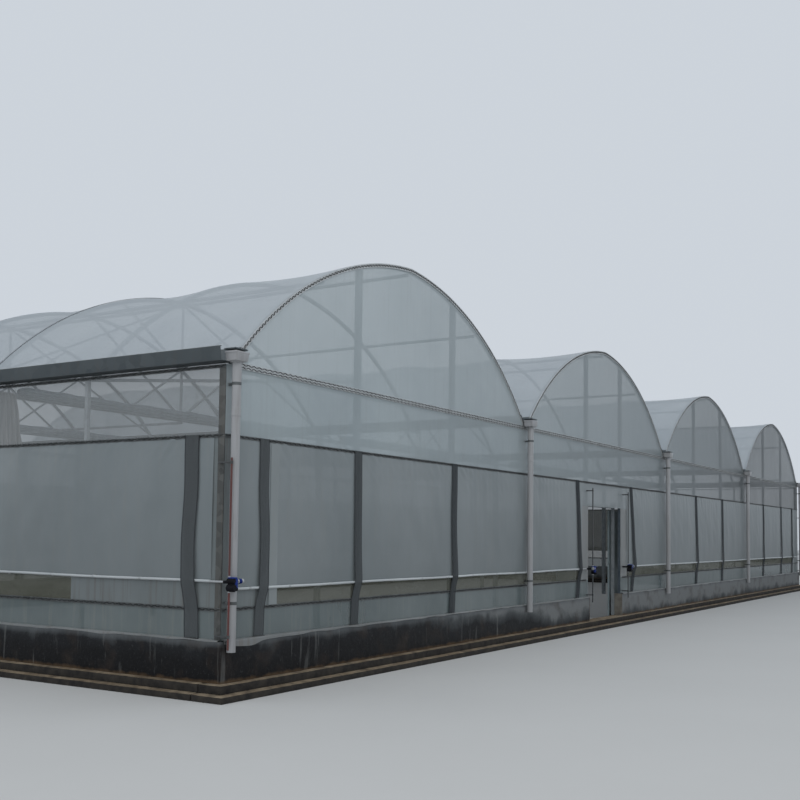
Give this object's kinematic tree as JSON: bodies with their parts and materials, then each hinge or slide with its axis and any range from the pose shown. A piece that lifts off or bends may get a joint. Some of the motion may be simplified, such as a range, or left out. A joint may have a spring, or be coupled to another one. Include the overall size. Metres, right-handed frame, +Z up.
{
  "type": "multi-span polytunnel greenhouse",
  "caption": "Gutter-connected film greenhouse with arched spans on a knee wall, roll-up side curtains, rain-water pipes and a double-leaf gable door.",
  "frame": {"origin": "on the ground under the middle of the house", "axes": "+X along the front gable to the right, +Y from the front gable to the back, +Z up"},
  "size_m": [32.64, 14.14, 5.8108],
  "materials": {
    "footing": "rough cement kerb, stained by earth",
    "plinth_render": "cement render over brick, dark with damp",
    "galvanised_steel": "galvanised tube",
    "gutter_sheet": "weathered galvanised sheet",
    "lock_channel": "channel with a waved locking wire",
    "roof_film": "greenhouse film",
    "gable_film": "greenhouse film",
    "curtain_film": "greenhouse film",
    "skirt_film": "greenhouse film",
    "insect_net": "fine net",
    "strap_mesh": "dark woven mesh",
    "pole_paint": "red paint",
    "motor_paint": "blue and black paint",
    "pale_pvc": "off-white pipe",
    "door_leaf": "framed sheet",
    "shade_cloth": "dark gathered cloth",
    "pale_cloth": "pale gathered cloth"
  },
  "bodies": {
    "house": {"footing_front": "footing", "footing_back": "footing", "footing_left": "footing", "footing_right": "footing", "plinth_front_left": "plinth_render", "plinth_front_right": "plinth_render", "plinth_back": "plinth_render", "plinth_left": "plinth_render", "plinth_right": "plinth_render", "end_columns": "galvanised_steel", "inner_columns": "galvanised_steel", "side_posts": "galvanised_steel", "gable_posts": "galvanised_steel", "gable_chords": "galvanised_steel", "truss_ties": "galvanised_steel", "arches_left": "galvanised_steel", "arches_right": "galvanised_steel", "truss_webs": "galvanised_steel", "purlins": "galvanised_steel", "wind_braces": "galvanised_steel", "centre_rails": "galvanised_steel", "door_jambs": "galvanised_steel", "door_header": "galvanised_steel", "roll_pipes": "galvanised_steel", "gutters": "gutter_sheet", "lock_channels": "lock_channel", "roof_film_left": "roof_film", "roof_film_right": "roof_film", "gable_film_front": "gable_film", "gable_film_back": "gable_film", "band_films": "gable_film", "door_film": "gable_film", "door_strips": "gable_film", "curtains_front": "curtain_film", "curtain_back": "curtain_film", "curtain_left": "curtain_film", "curtain_right": "curtain_film", "skirt_films": "skirt_film", "insect_nets": "insect_net", "straps": "strap_mesh", "guide_poles": "pole_paint", "roll_motors": "motor_paint", "hopper_heads": "pale_pvc", "downpipes": "pale_pvc", "shade_screens": "shade_cloth", "hanging_screen": "pale_cloth"},
    "left_leaf": {"door_leaf_left": "door_leaf"},
    "right_leaf": {"door_leaf_right": "door_leaf"}
  },
  "joints": [
    {"name": "left_leaf_swing", "type": "hinge", "parent": "house", "child": "left_leaf", "pos_m": [-4.95, -6.55, 0], "axis": [0, 0, -1], "range_deg": [0, 180]},
    {"name": "right_leaf_swing", "type": "hinge", "parent": "house", "child": "right_leaf", "pos_m": [-3.05, -6.55, 0], "axis": [0, 0, 1], "range_deg": [0, 180]}
  ]
}
